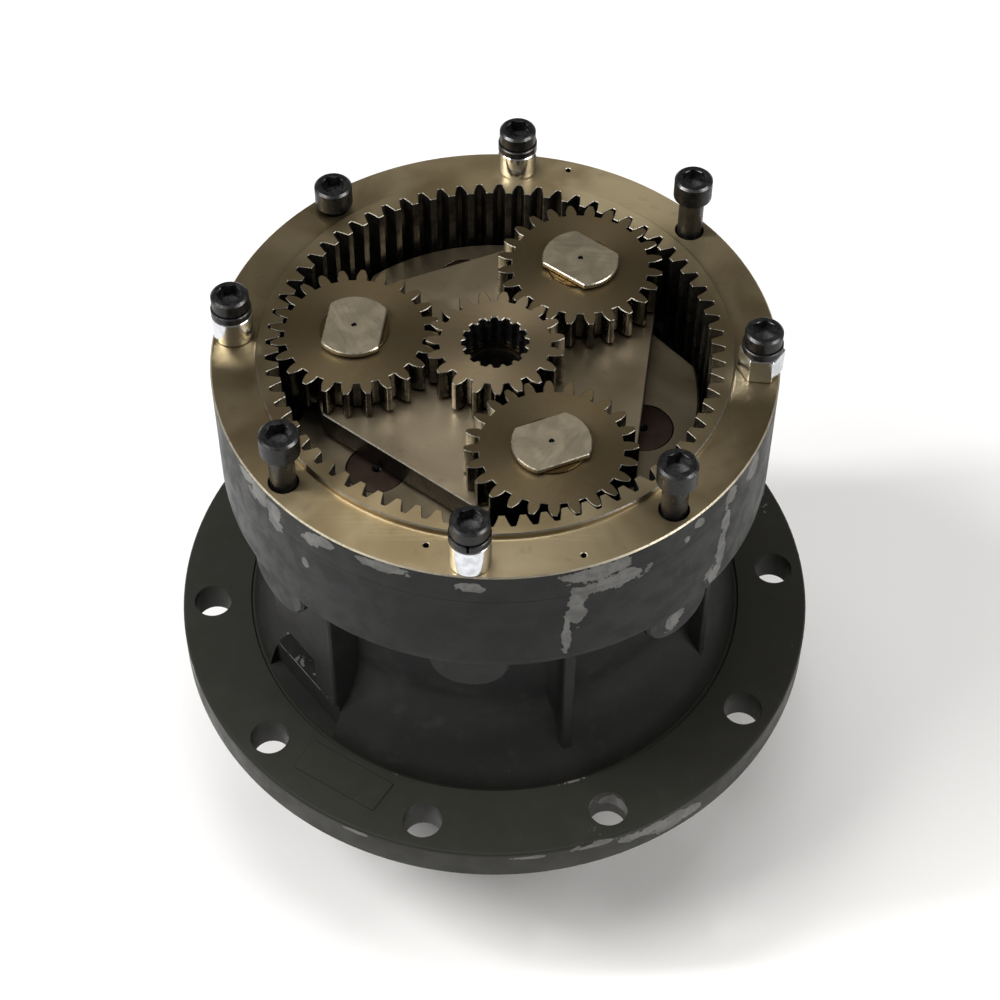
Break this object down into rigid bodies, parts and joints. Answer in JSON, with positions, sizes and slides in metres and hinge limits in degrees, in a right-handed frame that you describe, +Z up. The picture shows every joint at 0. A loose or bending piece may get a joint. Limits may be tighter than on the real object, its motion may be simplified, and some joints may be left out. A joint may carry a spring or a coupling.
{
  "type": "planetary gearbox",
  "caption": "Flanged planetary swing gearbox with its input cover off, showing sun, planets, carriers and ring gear above a ribbed housing with an output pinion below.",
  "frame": {"origin": "centre of the output pinion's lower face, on the common axis of all the shafts", "axes": "+Z up along the shafts, from the output pinion to the open input end; the drain port faces between -X and -Y"},
  "size_m": [0.374, 0.374, 0.3916],
  "materials": {
    "housing_paint": "dark grey paint, chipped at the edges",
    "machined_steel": "turned steel under a film of oil",
    "gear_steel": "hardened gear steel under a film of oil",
    "pin_steel": "ground steel",
    "dark_steel": "dark hardened steel",
    "black_oxide": "black oxide, worn bright on the rims",
    "plated_steel": "bright plated steel",
    "bronze": "plain bronze",
    "bearing_steel": "ground bearing steel",
    "rubber": "black nitrile rubber"
  },
  "bodies": {
    "housing": {"lower_housing": "housing_paint", "ring_gear": "machined_steel", "housing_o_ring": "rubber", "cap_screw_1": "black_oxide", "cap_screw_2": "black_oxide", "cap_screw_3": "black_oxide", "cap_screw_4": "black_oxide", "cap_screw_5": "black_oxide", "cap_screw_6": "black_oxide", "cap_screw_7": "black_oxide", "cap_screw_8": "black_oxide", "lock_ring_1": "black_oxide", "lock_ring_2": "black_oxide", "lock_ring_3": "black_oxide", "lock_ring_4": "black_oxide", "spacer_1": "plated_steel", "spacer_2": "plated_steel", "spacer_3": "plated_steel", "hex_spacer": "plated_steel", "drain_plug": "black_oxide", "upper_bearing_cup": "bearing_steel", "lower_bearing_cup": "bearing_steel", "oil_seal": "rubber"},
    "output": {"second_carrier": "machined_steel", "second_planet_pin_1": "dark_steel", "second_planet_pin_2": "dark_steel", "second_planet_pin_3": "dark_steel", "output_pinion_shaft": "machined_steel", "output_snap_ring": "black_oxide", "upper_bearing_cone": "bearing_steel", "lower_bearing_cone": "bearing_steel", "bearing_spacer": "bearing_steel"},
    "intermediate": {"first_carrier": "machined_steel", "first_planet_pin_1": "pin_steel", "first_planet_pin_2": "pin_steel", "first_planet_pin_3": "pin_steel", "first_thrust_washer_1": "bronze", "first_thrust_washer_2": "bronze", "first_thrust_washer_3": "bronze", "first_lower_washer_1": "bronze", "first_lower_washer_2": "bronze", "first_lower_washer_3": "bronze", "second_sun_gear": "gear_steel", "sun_thrust_ring": "bronze"},
    "input_sun": {"first_sun_gear": "machined_steel"},
    "first_planet_1": {"first_planet_gear_1": "gear_steel", "first_planet_bush_1": "bronze"},
    "first_planet_2": {"first_planet_gear_2": "gear_steel", "first_planet_bush_2": "bronze"},
    "first_planet_3": {"first_planet_gear_3": "gear_steel", "first_planet_bush_3": "bronze"},
    "second_planet_1": {"second_planet_gear_1": "gear_steel", "second_planet_bush_1": "bronze"},
    "second_planet_2": {"second_planet_gear_2": "gear_steel", "second_planet_bush_2": "bronze"},
    "second_planet_3": {"second_planet_gear_3": "gear_steel", "second_planet_bush_3": "bronze"},
    "upper_roller_set": {"upper_bearing_rollers": "bearing_steel"},
    "lower_roller_set": {"lower_bearing_rollers": "bearing_steel"}
  },
  "joints": [
    {"name": "output_spin", "type": "hinge", "parent": "housing", "child": "output", "pos_m": [0, 0, 0.1], "axis": [0, 0, 1], "continuous": true},
    {"name": "intermediate_spin", "type": "hinge", "parent": "housing", "child": "intermediate", "pos_m": [0, 0, 0.33], "axis": [0, 0, 1], "continuous": true},
    {"name": "input_spin", "type": "hinge", "parent": "housing", "child": "input_sun", "pos_m": [0, 0, 0.348], "axis": [0, 0, 1], "continuous": true},
    {"name": "first_planet_spin_1", "type": "hinge", "parent": "intermediate", "child": "first_planet_1", "pos_m": [0.02901, -0.07038, 0.347], "axis": [0, 0, 1], "continuous": true},
    {"name": "first_planet_spin_2", "type": "hinge", "parent": "intermediate", "child": "first_planet_2", "pos_m": [0.04645, 0.06031, 0.347], "axis": [0, 0, 1], "continuous": true},
    {"name": "first_planet_spin_3", "type": "hinge", "parent": "intermediate", "child": "first_planet_3", "pos_m": [-0.07546, 0.01007, 0.347], "axis": [0, 0, 1], "continuous": true},
    {"name": "second_planet_spin_1", "type": "hinge", "parent": "output", "child": "second_planet_1", "pos_m": [0.07966, -0.02665, 0.293], "axis": [0, 0, 1], "continuous": true},
    {"name": "second_planet_spin_2", "type": "hinge", "parent": "output", "child": "second_planet_2", "pos_m": [-0.01675, 0.08231, 0.293], "axis": [0, 0, 1], "continuous": true},
    {"name": "second_planet_spin_3", "type": "hinge", "parent": "output", "child": "second_planet_3", "pos_m": [-0.06291, -0.05566, 0.293], "axis": [0, 0, 1], "continuous": true},
    {"name": "upper_roller_spin", "type": "hinge", "parent": "housing", "child": "upper_roller_set", "pos_m": [0, 0, 0.23], "axis": [0, 0, 1], "continuous": true},
    {"name": "lower_roller_spin", "type": "hinge", "parent": "housing", "child": "lower_roller_set", "pos_m": [0, 0, 0.121], "axis": [0, 0, 1], "continuous": true}
  ],
  "couplings": [
    {"joint": "intermediate_spin", "follows": "output_spin", "ratio": 3.4286},
    {"joint": "input_spin", "follows": "output_spin", "ratio": 15.699},
    {"joint": "first_planet_spin_1", "follows": "output_spin", "ratio": -9.7143},
    {"joint": "first_planet_spin_2", "follows": "output_spin", "ratio": -9.7143},
    {"joint": "first_planet_spin_3", "follows": "output_spin", "ratio": -9.7143},
    {"joint": "second_planet_spin_1", "follows": "output_spin", "ratio": -3.4},
    {"joint": "second_planet_spin_2", "follows": "output_spin", "ratio": -3.4},
    {"joint": "second_planet_spin_3", "follows": "output_spin", "ratio": -3.4},
    {"joint": "upper_roller_spin", "follows": "output_spin", "ratio": 0.43},
    {"joint": "lower_roller_spin", "follows": "output_spin", "ratio": 0.43}
  ]
}
